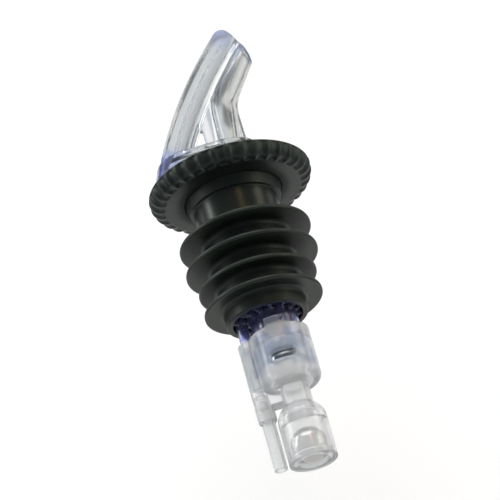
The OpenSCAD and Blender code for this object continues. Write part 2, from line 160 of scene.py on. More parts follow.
# %% Add nodes to a tree
# Places of a Mix node's colour sockets, three inputs and an output, whose names other sockets share
MIX_FACTOR = 0
MIX_FIRST = 6
MIX_SECOND = 7
MIX_RESULT = 2


class Tree:
    """The shader nodes of a material or of the world."""

    def __init__(self, node_tree):
        self.nodes = node_tree.nodes
        self.links = node_tree.links

    def put(self, node, values):
        """Sets a node's sockets, or links wires to them."""
        for key, value in values.items():
            if isinstance(value, Wire):
                self.links.new(value.socket, node.inputs[key])
            else:
                node.inputs[key].default_value = value

    def node(self, kind, settings, values, output=0):
        """Adds a node, with its settings before its sockets, and gives one of its outputs."""
        made = self.nodes.new(kind)
        for key, value in settings.items():
            setattr(made, key, value)
        self.put(made, values)
        return Wire(self, made.outputs[output])

    def vector(self, operation, first, second=(0, 0, 0), output=0):
        """One step of vector maths."""
        settings = {"operation": operation}
        return self.node("ShaderNodeVectorMath", settings, {0: first, 1: second}, output)

    def mix(self, factor, first, second):
        """A colour that goes from first to second as factor goes from 0 to 1."""
        values = {MIX_FACTOR: factor, MIX_FIRST: first, MIX_SECOND: second}
        return self.node("ShaderNodeMix", {"data_type": "RGBA"}, values, MIX_RESULT)

    def ray(self, kind):
        """1 for rays of one kind, such as Is Camera Ray, and 0 for the others."""
        return self.node("ShaderNodeLightPath", {}, {}, kind)


# %% Wrap a material as a finish
class Finish(Tree):
    """A material with one Principled shader, on Object coordinates."""

    def __init__(self, name, **fixed):
        self.material = bpy.data.materials.new(name)
        self.material.use_nodes = True
        super().__init__(self.material.node_tree)
        self.shader = self.nodes["Principled BSDF"]
        self.shade({key.replace("_", " "): value for key, value in fixed.items()})
        self.position = self.node("ShaderNodeTexCoord", {}, {}, "Object")

    def shade(self, values):
        """Sets or links the Principled shader's sockets."""
        self.put(self.shader, values)

    def along(self, axis):
        """Distance along X, Y or Z, in metres."""
        return self.node("ShaderNodeSeparateXYZ", {}, {0: self.position}, axis)

    def in_plane(self, vector, plane):
        """Length of a vector once it is flattened to a plane, such as (1, 1, 0) for the level one."""
        return self.vector("LENGTH", self.vector("MULTIPLY", vector, plane), output="Value")

    def noise(self, scale, detail=2.0, stretch=(1, 1, 1)):
        """Cloudy noise from 0 to 1; scale counts lumps per metre, stretch draws them out."""
        drawn_out = self.node("ShaderNodeMapping", {}, {"Vector": self.position, "Scale": stretch})
        values = {"Vector": drawn_out, "Scale": scale, "Detail": detail}
        return self.node("ShaderNodeTexNoise", {}, values)

    def bump(self, height, depth):
        """Bends the shading normal by a height from 0 to 1, worth depth in metres."""
        values = {"Height": height, "Distance": depth, "Strength": 1.0}
        self.shade({"Normal": self.node("ShaderNodeBump", {}, values)})


def dress(obj, finish):
    """Gives an object one material, in place of any that it had."""
    obj.data.materials.clear()
    obj.data.materials.append(finish.material)


# %% [markdown]
# ## Meshes
# Two ways of making a mesh serve almost every piece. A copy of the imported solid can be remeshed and
# smoothed, which rounds all its edges at once, and a turned shape can be lathed from an outline whose
# corners are rounded first. Bevels edge by edge would be a third way, but they break where curved walls
# meet. The finished object stays at the origin, with its place in its mesh.

# %% Make objects and bake them
JOIN_GAP = 0.0005 * MM


def object_from(bm, name):
    """Turns a bmesh into a new object at the origin."""
    mesh = bpy.data.meshes.new(name)
    bm.to_mesh(mesh)
    bm.free()
    obj = bpy.data.objects.new(name, mesh)
    bpy.context.scene.collection.objects.link(obj)
    return obj


def baked(obj):
    """Swaps an object's mesh for what its modifiers make of it, and drops the modifiers."""
    evaluated = obj.evaluated_get(bpy.context.evaluated_depsgraph_get())
    mesh = bpy.data.meshes.new_from_object(evaluated)
    obj.modifiers.clear()
    obj.data = mesh
    return obj


def merged_copy(node, name):
    """A copy of a node's mesh with its loose triangles joined, as a new object."""
    bm = bmesh.new()
    bm.from_mesh(frame["nodes"][node].data)
    bmesh.ops.remove_doubles(bm, verts=bm.verts, dist=JOIN_GAP)
    return object_from(bm, name)


# %% [markdown]
# An outline is a list of corners in r and z, in millimetres, each with the radius that rounds it. Short
# straight leads before and after each arc keep the smooth shading from spreading over the flat walls.

# %% Round an outline and turn it
ARC_LEAD = 0.05


def filleted(corners, steps=5):
    """A closed outline in metres from corners (r, z, radius), each rounded unless its radius is 0."""
    outline = []
    for i, (r, z, radius) in enumerate(corners):
        here = Vector((r, z))
        if radius == 0:
            outline.append(here)
            continue
        before = (Vector(corners[i - 1][:2]) - here).normalized()
        after = (Vector(corners[(i + 1) % len(corners)][:2]) - here).normalized()
        half = before.angle(after) / 2
        reach = radius / math.tan(half)
        centre = here + (before + after).normalized() * radius / math.sin(half)
        start = here + before * reach
        end = here + after * reach
        outline.append(start + ARC_LEAD * before)
        turns = [(start - centre).slerp(end - centre, k / steps) for k in range(steps + 1)]
        outline += [centre + radius * turn for turn in turns]
        outline.append(end + ARC_LEAD * after)
    return [point * MM for point in outline]


def lathe(name, outline, steps, axis_x=0.0):
    """Turns a closed outline of (r, z) points about an upright axis into a ring."""
    bm = bmesh.new()
    rings = []
    for s in range(steps):
        angle = 2 * math.pi * s / steps
        points = [(axis_x + r * math.cos(angle), r * math.sin(angle), z) for r, z in outline]
        rings.append([bm.verts.new(point) for point in points])
    for s in range(steps):
        this, following = rings[s - 1], rings[s]
        for k in range(len(outline)):
            bm.faces.new((this[k - 1], following[k - 1], following[k], this[k]))
    bmesh.ops.recalc_face_normals(bm, faces=bm.faces)
    obj = object_from(bm, name)
    obj.data.shade_smooth()
    return obj


# %% [markdown]
# Softening works in two goes. The first, on a mesh of half the size, rounds the edges with many small
# steps. The second sets the mesh that is kept. Then a piece takes its finish, rides on its solid's body and
# hides the solid.

# %% Soften a solid's edges and hand a piece over
SMOOTH_STEP = 0.5
FINE_PASSES = 4


def soften(obj, voxel, rounds, last_rounds):
    """Rounds an object's edges on a mesh of half the voxel, then remeshes it at the voxel itself."""
    for size, passes in ((voxel / 2, FINE_PASSES * rounds), (voxel, last_rounds)):
        remesh = obj.modifiers.new("even mesh", "REMESH")
        remesh.mode = "VOXEL"
        remesh.voxel_size = size
        smooth = obj.modifiers.new("soft edges", "SMOOTH")
        smooth.factor = SMOOTH_STEP
        smooth.iterations = passes
    baked(obj)
    obj.data.shade_smooth()
    print(obj.name, len(obj.data.polygons), "faces")
    return obj


def stand_in_for(obj, node, finish):
    """Finishes a piece: its material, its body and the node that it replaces."""
    dress(obj, finish)
    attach(obj, frame["nodes"][node]["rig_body"])
    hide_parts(node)


# %% [markdown]
# ## Clear plastic
# The spout, chamber, cage and barrel are injection-moulded in clear plastic. A glass-like shader with the
# plastic's refractive index does most of the work. It isn't optical glass: flow marks move the tint and
# the haze, and ripple the surface by micrometres. The spout's plastic has a grey-blue cast. The chamber
# is the milkiest, so the ball inside it only shows as a dark smudge, and the cage is a little clearer.

# %% Mix the clear finishes
PLASTIC_IOR = 1.5
FLOW_SCALE = 90
FLOW_STRETCH = (1, 1, 0.35)
SPECK_SCALE = 1400
SPECK_SHARE = 0.15
RIPPLE = 0.02 * MM
SPOUT_TINTS = ((0.62, 0.655, 0.675, 1), (0.55, 0.595, 0.625, 1))
PALE_TINTS = ((0.985, 0.995, 1.0, 1), (0.96, 0.978, 0.987, 1))
BARREL_TINTS = ((0.62, 0.66, 0.70, 1), (0.54, 0.58, 0.63, 1))


def clear_plastic(name, tints, haze, milk):
    """Clear moulded plastic between two tints and two amounts of haze, with a share of milky scatter."""
    finish = Finish(name, Transmission_Weight=1.0 - milk, IOR=PLASTIC_IOR)
    flow = finish.noise(FLOW_SCALE, detail=3, stretch=FLOW_STRETCH)
    specks = finish.noise(SPECK_SCALE)
    clearest, haziest = haze
    finish.tint = finish.mix(flow, *tints)
    finish.haze = clearest + (haziest - clearest) * flow
    finish.shade({"Base Color": finish.tint, "Roughness": finish.haze})
    finish.bump(flow + SPECK_SHARE * specks, RIPPLE)
    return finish


spout_clear = clear_plastic("spout clear", SPOUT_TINTS, haze=(0.06, 0.13), milk=0.06)
chamber_clear = clear_plastic("chamber clear", PALE_TINTS, haze=(0.18, 0.30), milk=0.22)
cage_clear = clear_plastic("cage clear", PALE_TINTS, haze=(0.12, 0.22), milk=0.18)
barrel_tint = clear_plastic("barrel tint", BARREL_TINTS, haze=(0.10, 0.20), milk=0.04)
clear_finishes = (spout_clear, chamber_clear, cage_clear, barrel_tint)
print("clear finishes:", ", ".join(finish.material.name for finish in clear_finishes))

# %% [markdown]
# ## Tints in the spout
# Thick clear plastic isn't one colour. Blue gathers at the spout's tip and in the foot of its strut. Light
# and
# shade are painted in as well: a painted dark blue shade along the cut of the mouth, painted shade on the
# pour tube's side towards the strut, under its elbow and on the lower web, painted light on the tube's far
# side, and painted highlights as pale lines on the strut's nose and the tube's rim. A true refraction of
# every inner wall could give all that, but the inner walls can't be seen well enough to copy. Distances in
# the material place the tints instead, so they stay on the plastic when the view changes. First come the
# distances: from the tube's axis, from the strut's curved middle line and from the curved cut of the mouth.

# %% Measure across the spout
# The tube's axis rises from its foot to the elbow and leans from there; strut and mouth are arcs
COLLAR_H = 3.3
ELBOW_X = 3.1 * MM
ELBOW_Z = 21.9 * MM
ELBOW_TURN = (21, 23)
TUBE_LEAN = math.radians(34.5)
FOOT_X = 1.2 * MM
FOOT_LEAN = (ELBOW_X - FOOT_X) / ELBOW_Z
STRUT_FOOT = Vector((-12.3, 0, COLLAR_H)) * MM
STRUT_LEAN = math.radians(19)
STRUT_R = 85 * MM
MOUTH_MIDDLE = Vector((10, 0, 34)) * MM
MOUTH_SLOPE = math.radians(28)
MOUTH_R = 17 * MM
SIDE_PLANE = (1, 0, 1)

spout_x = spout_clear.along("X")
spout_y = spout_clear.along("Y")
spout_z = spout_clear.along("Z")
above = spout_z.rise(ELBOW_TURN)
leaning = math.cos(TUBE_LEAN) * (spout_x - ELBOW_X) - math.sin(TUBE_LEAN) * (spout_z - ELBOW_Z)
standing = spout_x - FOOT_X - FOOT_LEAN * spout_z
beside = above * leaning + (1.0 - above) * standing


def off_circle(centre, radius):
    """Distance outside a circle in the spout's plane of symmetry."""
    arm = spout_clear.vector("SUBTRACT", spout_clear.position, centre)
    return spout_clear.in_plane(arm, SIDE_PLANE) - radius


strut_arm = STRUT_R * Vector((math.cos(STRUT_LEAN), 0, -math.sin(STRUT_LEAN)))
mouth_arm = MOUTH_R * Vector((math.cos(MOUTH_SLOPE), 0, math.sin(MOUTH_SLOPE)))
off_strut = off_circle(STRUT_FOOT + strut_arm, STRUT_R)
off_mouth = off_circle(MOUTH_MIDDLE - mouth_arm, MOUTH_R)
print("strut curves about", STRUT_FOOT + strut_arm, "and the mouth about", MOUTH_MIDDLE - mouth_arm)

# %% [markdown]
# Each place on the spout is a mask from 0 to 1, made of steps along those distances. The bores and the thin
# web are left untinted, because light crosses more walls there and a tint on each would add up. The painted
# shade on the tube's grey side, the painted highlight of the pale line on its rim and the painted shade of
# the dark core under the elbow follow the tube's own axis. The painted highlight on the strut's nose follows
# the strut's middle line.

# %% Mark the tube, the strut and the web
POUR_BORE = (1.95, 2.15)
VENT_BORE = (1.2, 1.5)
WEB_HALF = (1.4, 1.7)
WEB_TO_STRUT = (-3.0, -2.6)
WEB_MIDDLE_LEFT = (-2.4, -1.7)
WEB_MIDDLE_RIGHT = (-1.1, -0.4)
NOSE_INNER = (-3.2, -3.0)
NOSE_OUTER = (-2.2, -1.8)
TUBE_EDGE = (-2.9, -2.5)
TUBE_RIM = (-2.3, -2.0)
TUBE_SHADE = (-1.6, 0.2)
TUBE_LIT_SIDE = (-0.5, 1.5)


def within(squared, span):
    """1 where a squared distance lies inside a span of millimetres, 0 past it."""
    inner, outer = span
    return 1.0 - squared.ramp((inner * MM) ** 2, (outer * MM) ** 2)


y_squared = spout_y * spout_y
on_tube = beside.rise(TUBE_EDGE)
pour_bore = within(beside * beside + y_squared, POUR_BORE)
vent_bore = within(off_strut * off_strut + y_squared, VENT_BORE)
web = within(y_squared, WEB_HALF) * (1.0 - on_tube) * off_strut.fall(WEB_TO_STRUT)
web_middle = spout_x.rise(WEB_MIDDLE_LEFT) * spout_x.fall(WEB_MIDDLE_RIGHT)
# Painted highlights: pale untinted lines along the strut's nose and the tube's rim
nose_highlight = above * off_strut.rise(NOSE_INNER) * off_strut.fall(NOSE_OUTER)
rim_highlight = on_tube * beside.fall(TUBE_RIM)
# Painted shade on the tube's side towards the strut, above the elbow
shaded_tube_side = above * on_tube * beside.fall(TUBE_SHADE)
# Painted light: the tube's side away from the strut is painted lighter
lit_side = on_tube * beside.rise(TUBE_LIT_SIDE)
print("tube: grey up to", TUBE_SHADE[1], "mm and cream from", TUBE_LIT_SIDE[0], "mm right of its axis")

# %% Mark the core, the tip, the mouth and the foot
CORE_SLOPE = 1.5
CORE_LOW = (16.8, 18.8)
CORE_HIGH = (19.8, 22)
CORE_SIDE = (-0.6, 0.4)
CORE_TOP = (20.5, 21.5)
TIP_HEIGHT = (35.0, 37.5)
TIP_HAZE_HEIGHT = (32.0, 34.5)
TIP_SIDE = (-3.0, -2.0)
MOUTH_CUT = (-0.9, -0.3)
MOUTH_SIDE = (-2.6, -2.0)
FOOT_SIDE = (-11.5, -5)
FOOT_HEIGHT = (11.5, 14.5)
BLOTCH_SCALE = 420
BLOTCH_STEP = (0.46, 0.58)

slant = spout_z + CORE_SLOPE * beside
core_band = slant.rise(CORE_LOW) * slant.fall(CORE_HIGH)
# Painted shade: a dark core under the elbow, round the pour bore
core_shade = pour_bore * core_band * beside.rise(CORE_SIDE) * spout_z.fall(CORE_TOP)
strut_side = leaning.fall(TIP_SIDE)
at_tip = spout_z.rise(TIP_HEIGHT) * strut_side
tip_haze = spout_z.rise(TIP_HAZE_HEIGHT) * strut_side
# Painted shade: a dark blue edge along the cut of the mouth
mouth_shade = above * off_mouth.rise(MOUTH_CUT) * leaning.rise(MOUTH_SIDE)
at_foot = spout_x.fall(FOOT_SIDE) * spout_z.fall(FOOT_HEIGHT)
blotches = spout_clear.noise(BLOTCH_SCALE).ramp(*BLOTCH_STEP)
print("spout: blue below", FOOT_HEIGHT[1], "mm in the foot and above", TIP_HEIGHT[0], "mm at the tip")

# %% [markdown]
# The colours are then laid over each other in order, each where its mask says. A colour ramp could hold
# them too, but only along one distance, and here every place has its own. The vent's bore and the tip are
# also hazier than the rest, so the light in them spreads.

# %% Tint the spout
LAVENDER = (0.36, 0.43, 0.76, 1)
NAVY = (0.05, 0.08, 0.40, 1)
# Painted light: the cream. Painted shade: the smoke grey, the dark core, the web's grey and the mouth's blue.
LIT_CREAM = (0.64, 0.655, 0.635, 1)
SHADE_GREY = (0.09, 0.105, 0.125, 1)
CORE_SHADE = (0.06, 0.07, 0.09, 1)
WEB_SHADE = (0.50, 0.55, 0.61, 1)
MOUTH_SHADE_BLUE = (0.20, 0.25, 0.36, 1)
UNTINTED = (0.97, 0.975, 0.98, 1)
WEB_LIGHTENING = 0.7
VENT_HAZE = 0.45
TIP_HAZE = 0.25


def layered(finish, tints):
    """Lays colours over a clear finish's own tint, each where its mask is 1, later over earlier."""
    colour = finish.tint
    for mask, tint in tints:
        colour = finish.mix(mask, colour, tint)
    return colour


spout_layers = [
    (lit_side, LIT_CREAM),
    (pour_bore, UNTINTED),
    (vent_bore, UNTINTED),
    (web, UNTINTED),
    # painted shade on the lower web, lighter in its middle
    (web * (1.0 - above) * (1.0 - WEB_LIGHTENING * web_middle), WEB_SHADE),
    (shaded_tube_side, SHADE_GREY),
    (core_shade, CORE_SHADE),
    # painted highlights on the strut's nose and the tube's rim
    (nose_highlight, UNTINTED),
    (rim_highlight, UNTINTED),
    (at_tip, LAVENDER),
    (mouth_shade, MOUTH_SHADE_BLUE),
    (at_foot, spout_clear.mix(blotches, LAVENDER, NAVY)),
]
spout_clear.shade({
    "Base Color": layered(spout_clear, spout_layers),
    "Roughness": spout_clear.haze + VENT_HAZE * vent_bore + TIP_HAZE * tip_haze,
})
print("spout:", len(spout_layers), "tints,", len(spout_clear.nodes), "nodes")

# %% [markdown]
# ## Tints in the barrel and the chamber
# The barrel is a tinted tube, and a cut end of it glows blue-violet because light leaves the plastic there.
# The blue lies above the chamber's rim, at the end of the barrel's plug and at the end of its vent tube, so
# three heights place it. The vent tube itself, inside the sleeve, is left clear.

# %% Tint the barrel
SNAP_TAB_H = 1.8 * MM
BARREL_PLUG = 2.5 * MM
SLEEVE_EDGE = (-4.2, -3.8)
RIM_BLUE = (0.2, 0.8)
CUT_START = (-0.3, 0)
CUT_END = (0.3, 0.6)
BLUE_EDGE = (0.50, 0.52, 0.86, 1)

chamber_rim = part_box("measuring_chamber")[1].z - SNAP_TAB_H
vent_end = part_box("timing_barrel")[0].z
barrel_z = barrel_tint.along("Z")
in_sleeve = barrel_tint.along("X").fall(SLEEVE_EDGE)
blue = (barrel_z - chamber_rim).rise(RIM_BLUE)
for cut in (chamber_rim - BARREL_PLUG, vent_end):
    past_cut = barrel_z - cut
    blue = blue.larger(past_cut.rise(CUT_START) * past_cut.fall(CUT_END))
barrel_layers = [(in_sleeve, UNTINTED), (blue, BLUE_EDGE)]
barrel_tint.shade({"Base Color": layered(barrel_tint, barrel_layers)})
print("chamber's rim at", round(chamber_rim / MM, 2), "mm, vent's end at", round(vent_end / MM, 2), "mm")

# %% [markdown]
# The chamber's wall carries painted shade: slate clouds just below the rim, where the barrel's plug stands
# inside under the cork, a teal shade on the left side of the breather's sleeve, and darker snap tabs above
# the rim. Clouds of noise break the painted slate shade into patches, not a band.

# %% Tint the chamber
SLATE_SHADE = (0.58, 0.65, 0.77, 1)
TEAL_SHADE = (0.76, 0.82, 0.84, 1)
TAB_SHADE = (0.42, 0.43, 0.52, 1)
CLOUD_SCALE = 230
CLOUD_STEP = (0.44, 0.58)
PLUG_FOOT = (-10, -8)
PLUG_TOP = (-1.2, -0.3)
PLUG_SIDE = (-6.0, -5.0)
SLEEVE_SIDE = (-1.0, -0.4)
SLEEVE_FOOT = (-0.3, 0.3)
TAB_FOOT = (0.1, 0.5)

tail_low, tail_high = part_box("breather_tail")
sleeve_x = (tail_low.x + tail_high.x) / 2
chamber_x = chamber_clear.along("X")
chamber_z = chamber_clear.along("Z")
over_rim = chamber_z - chamber_rim
clouds = chamber_clear.noise(CLOUD_SCALE).ramp(*CLOUD_STEP)
# Painted shade: slate clouds under the cork, where the barrel's plug stands inside
plug_shade = over_rim.rise(PLUG_FOOT) * over_rim.fall(PLUG_TOP) * chamber_x.rise(PLUG_SIDE)
# Painted shade on the left side of the breather's sleeve
sleeve_shade = (chamber_x - sleeve_x).fall(SLEEVE_SIDE) * (chamber_z - vent_end).rise(SLEEVE_FOOT)
on_tab = over_rim.rise(TAB_FOOT)
chamber_layers = [(plug_shade * clouds, SLATE_SHADE), (sleeve_shade, TEAL_SHADE), (on_tab, TAB_SHADE)]
chamber_clear.shade({"Base Color": layered(chamber_clear, chamber_layers)})
print("sleeve at x", round(sleeve_x / MM, 2), "mm")

# %% [markdown]
# ## Black rubber and black plastic
# The cork is soft rubber with a painted grey highlight on its fins' rims, and the collar is a harder satin
# plastic with the same painted highlight near its edge. Both are nearly black, so what shows is gloss: the
# roughness carries the finish, and the colour only lifts in clouds where hands and bottles rub it, and in
# the painted highlight on the rims.

# %% Mix the black finishes
GREENISH = (0.90, 1.0, 0.94, 1)
LEVEL_PLANE = (1, 1, 0)
RUB_SCALE = 160
RUB_STEP = (0.45, 0.75)
RIM_HIGHLIGHT_WIDTH = 0.8 * MM
RUB_DULLNESS = 0.12
RUB_RELIEF = 0.4
GRAIN_SCALE = 3200
GRAIN_DULLNESS = 0.06


def black_finish(name, dark, rubbed_and_highlight, rim, gloss, grain):
    """A black surface, lighter in clouds of wear and with a painted highlight past a radius from the axis,
    with a fine grain.
    """
    finish = Finish(name, Specular_Tint=GREENISH)
    cloud = finish.noise(RUB_SCALE, detail=4)
    fine = finish.noise(GRAIN_SCALE)
    finish.radius = finish.in_plane(finish.position, LEVEL_PLANE)
    # Lighter in clouds of wear, and past a radius from the axis a painted highlight on the rims
    rub_and_rim_highlight = 0.5 * cloud.ramp(*RUB_STEP) + 0.5 * finish.radius.ramp(rim - RIM_HIGHLIGHT_WIDTH, rim)
    finish.sheen = gloss + RUB_DULLNESS * cloud + GRAIN_DULLNESS * fine
    finish.shade({"Base Color": finish.mix(rub_and_rim_highlight, dark, rubbed_and_highlight), "Roughness": finish.sheen})
    finish.bump(fine + RUB_RELIEF * cloud, grain)
    return finish


cork_black = black_finish(
    "cork rubber", dark=(0.006, 0.0092, 0.0070, 1), rubbed_and_highlight=(0.020, 0.026, 0.020, 1),
    rim=12 * MM, gloss=0.36, grain=0.006 * MM)
collar_black = black_finish(
    "collar plastic", dark=(0.006, 0.0092, 0.0078, 1), rubbed_and_highlight=(0.018, 0.025, 0.021, 1),
    rim=16.6 * MM, gloss=0.32, grain=0.005 * MM)
print("black finishes:", cork_black.material.name, "and", collar_black.material.name)

# %% [markdown]
# The cork's neck, between the collar and the first fin, is never rubbed by a bottle and keeps the mould's
# polish. The collar is dullest near the neck, where no thumb reaches. Two more materials could say so, but
# a step in the roughness does it without a seam.

# %% Polish the neck and dull the collar
NECK_FOOT = (-9.5, -8.5)
NECK_TOP = (-3.0, -2.2)
NECK_POLISH = 0.16
INNER_COLLAR = (10.2, 12.8)
INNER_DULLNESS = 0.30

cork_z = cork_black.along("Z")
on_neck = cork_z.rise(NECK_FOOT) * cork_z.fall(NECK_TOP)
near_neck = collar_black.radius.fall(INNER_COLLAR)
cork_black.shade({"Roughness": cork_black.sheen - NECK_POLISH * on_neck})
collar_black.shade({"Roughness": collar_black.sheen + INNER_DULLNESS * near_neck})
print("neck polished from", NECK_FOOT[0], "to", NECK_TOP[1], "mm")

# %% [markdown]
# ## Bearing steel
# The three balls are polished bearing balls. A perfect mirror would look false, so scratches, made of noise
# that is squeezed along the axis, dull the steel here and there.

# %% Mix the steel
BRIGHT_STEEL = (0.50, 0.495, 0.485, 1)
WORN_STEEL = (0.40, 0.395, 0.385, 1)
SCRATCH_SCALE = 900
SCRATCH_STRETCH = (1, 1, 9)
SCRATCH_STEP = (0.55, 0.75)
POLISH = 0.07
SCRATCH_DULLNESS = 0.15

steel = Finish("ball steel", Metallic=1.0)
scratches = steel.noise(SCRATCH_SCALE, detail=3, stretch=SCRATCH_STRETCH).ramp(*SCRATCH_STEP)
steel.shade({
    "Base Color": steel.mix(scratches, BRIGHT_STEEL, WORN_STEEL),
    "Roughness": POLISH + SCRATCH_DULLNESS * scratches,
})
print("steel roughness from", POLISH, "to", POLISH + SCRATCH_DULLNESS)

# %% [markdown]
# ## The clear mouldings
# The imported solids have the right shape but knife-sharp edges. A moulding has a small radius on every edge,
# and with clear plastic those radii catch the light. Each solid's copy is remeshed finely and smoothed. The
# spout gets the most passes, because its long curves would show every ripple of the mesh.

# %% Soften the clear pieces
# Piece, node, finish, mesh size, rounds of smoothing and last passes
CLEAR_PIECES = [
    ("spout_moulding", "pour_spout", spout_clear, 0.24 * MM, 9, 14),
    ("chamber_cup", "measuring_chamber", chamber_clear, 0.14 * MM, 3, 3),
    ("barrel_tube", "timing_barrel", barrel_tint, 0.22 * MM, 3, 3),
]
for name, node, finish, voxel, rounds, last_rounds in CLEAR_PIECES:
    stand_in_for(soften(merged_copy(node, name), voxel, rounds, last_rounds), node, finish)

# %% [markdown]
# ## The cage, its ring and the tail
# These are turned shapes. A lathe keeps their walls even and their edges round with far fewer faces than a
# remesh. Their outer sizes come from the frame, and only the bores are given. The cage's shoulder is an arc
# that stops short of a quarter turn.

# %% Turn the cage
CAGE_STEPS = 128
CAGE_ROUND = 3.8
CAGE_DOME = 5 / 6
DOME_STEPS = 16
CAGE_BORE_R = 3.9
CAGE_SEAT_R = 2.1
CAGE_SEAT_DEPTH = 2.0
CAGE_SEAT_LENGTH = 2.15
CAGE_SOCKET_R = 2.75
CAP_H = 1.4
FIT = 0.05
CAGE_FOOT_EDGE = 0.25
SOCKET_EDGE = 0.12
SEAT_EDGE = 0.06
STEP_EDGE = 0.08
BORE_EDGE = 0.3
FINE_EDGE = 0.1


def turned_size(node):
    """Axis in metres, then outer radius, lower end and upper end of a turned node in millimetres."""
    low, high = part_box(node)
    return (low.x + high.x) / 2, (high.x - low.x) / 2 / MM, low.z / MM, high.z / MM


cage_x, cage_r, cage_foot, cage_top = turned_size("valve_cage")
cap_x, cap_r, cap_foot, cap_top = turned_size("cage_cap")
seat_z = cage_top - CAGE_SEAT_DEPTH
dome_z = cage_top - CAGE_ROUND * CAGE_DOME
dome = []
for k in range(DOME_STEPS + 1):
    turn = math.asin(CAGE_DOME) * k / DOME_STEPS
    dome.append((cage_r - CAGE_ROUND * (1 - math.cos(turn)), dome_z + CAGE_ROUND * math.sin(turn), 0))
cage_corners = [(cage_r, cage_foot, CAGE_FOOT_EDGE)] + dome + [
    (CAGE_SOCKET_R, cage_top, SOCKET_EDGE),
    (CAGE_SOCKET_R, seat_z, FINE_EDGE),
    (CAGE_SEAT_R, seat_z, SEAT_EDGE),
    (CAGE_BORE_R, seat_z - CAGE_SEAT_LENGTH, BORE_EDGE),
    (CAGE_BORE_R, cage_foot + CAP_H, STEP_EDGE),
    (cap_r + FIT, cage_foot + CAP_H, STEP_EDGE),
    (cap_r + FIT, cage_foot, FINE_EDGE),
]
cage_shell = lathe("cage_shell", filleted(cage_corners, steps=8), CAGE_STEPS, cage_x)
stand_in_for(cage_shell, "valve_cage", cage_clear)
print("cage", len(cage_shell.data.polygons), "faces, radius", round(cage_r, 2), "mm")

# %% Turn the cage's ring and the tail
CAP_BORE_R = 3.05
CAP_EDGE = 0.15
TAIL_STEPS = 64
TAIL_BORE_R = 0.8
TAIL_PLUG = 2.5
TAIL_TAPER = 0.12
TAIL_EDGE = 0.2

cap_corners = [
    (cap_r, cap_foot, CAP_EDGE),
    (cap_r, cap_top, FINE_EDGE),
    (CAP_BORE_R, cap_top, CAP_EDGE),
    (CAP_BORE_R, cap_foot, BORE_EDGE),
]
cage_ring = lathe("cage_ring", filleted(cap_corners), CAGE_STEPS, cap_x)
stand_in_for(cage_ring, "cage_cap", cage_clear)

tail_x, tail_r, tail_foot, tail_top = turned_size("breather_tail")
tail_corners = [
    (tail_r, tail_foot, TAIL_EDGE),
    (tail_r, tail_top - TAIL_PLUG, 0),
    (tail_r - TAIL_TAPER, tail_top, FINE_EDGE),
    (TAIL_BORE_R, tail_top, FINE_EDGE),
    (TAIL_BORE_R, tail_foot, TAIL_EDGE),
]
tail_tube = lathe("tail_tube", filleted(tail_corners), TAIL_STEPS, tail_x)
stand_in_for(tail_tube, "breather_tail", chamber_clear)
print("ring and tail", [len(obj.data.polygons) for obj in (cage_ring, tail_tube)], "faces")

# %% [markdown]
# ## The collar
# The collar is turned from one outline: a plate with a large rounding under its edge, and a shallow seat
# for the cork. Its arcs get more steps than those of other pieces, because the flutes cut the large one.

# %% Turn the collar's blank
COLLAR_R = 17.0
COLLAR_STEPS = 216
COLLAR_BORE_EDGE = 0.2
COLLAR_TOP_EDGE = 0.4
EDGE_ROUND = 2.7
CORK_BORE_R = 7.1
CORK_TOP_R = 10.0
CORK_RECESS = 0.5

collar_corners = [
    (CORK_BORE_R, COLLAR_H, COLLAR_BORE_EDGE),
    (COLLAR_R, COLLAR_H, COLLAR_TOP_EDGE),
    (COLLAR_R, 0, EDGE_ROUND),
    (CORK_TOP_R + FIT, 0, FINE_EDGE),
    (CORK_TOP_R + FIT, CORK_RECESS, FINE_EDGE),
    (CORK_BORE_R, CORK_RECESS, FINE_EDGE),
]
collar_ring = lathe("collar_ring", filleted(collar_corners, steps=12), COLLAR_STEPS)
print("collar's blank", len(collar_ring.data.polygons), "faces")

# %% [markdown]
# The collar's grip is one flute, repeated: a bent round bar that follows the rounding and scoops it out.
# The bars could be modelled once and copied by a loop, but a node group that bends the bar, sets it round a
# circle and carves keeps the number of flutes and their depth as values to change.

# %% Build the flutes' node group
BEND_STEPS = 40
BAR_STEPS = 48
FLUTE_INPUTS = {
    "Blank": "NodeSocketGeometry",
    "Flutes": "NodeSocketInt",
    "Circle": "NodeSocketFloat",
    "Height": "NodeSocketVector",
    "Bend": "NodeSocketFloat",
    "Bar": "NodeSocketFloat",
    "Sweep": "NodeSocketFloat",
    "Finish": "NodeSocketMaterial",
}
flutes = bpy.data.node_groups.new("flutes round an edge", "GeometryNodeTree")
for label, kind in FLUTE_INPUTS.items():
    flutes.interface.new_socket(label, in_out="INPUT", socket_type=kind)
flutes.interface.new_socket("Geometry", in_out="OUTPUT", socket_type="NodeSocketGeometry")


def flute_node(kind, settings, values):
    """Adds a node to the flutes' group, with its settings before its sockets."""
    made = flutes.nodes.new(kind)
    for key, value in settings.items():
        setattr(made, key, value)
    for key, value in values.items():
        made.inputs[key].default_value = value
    return made


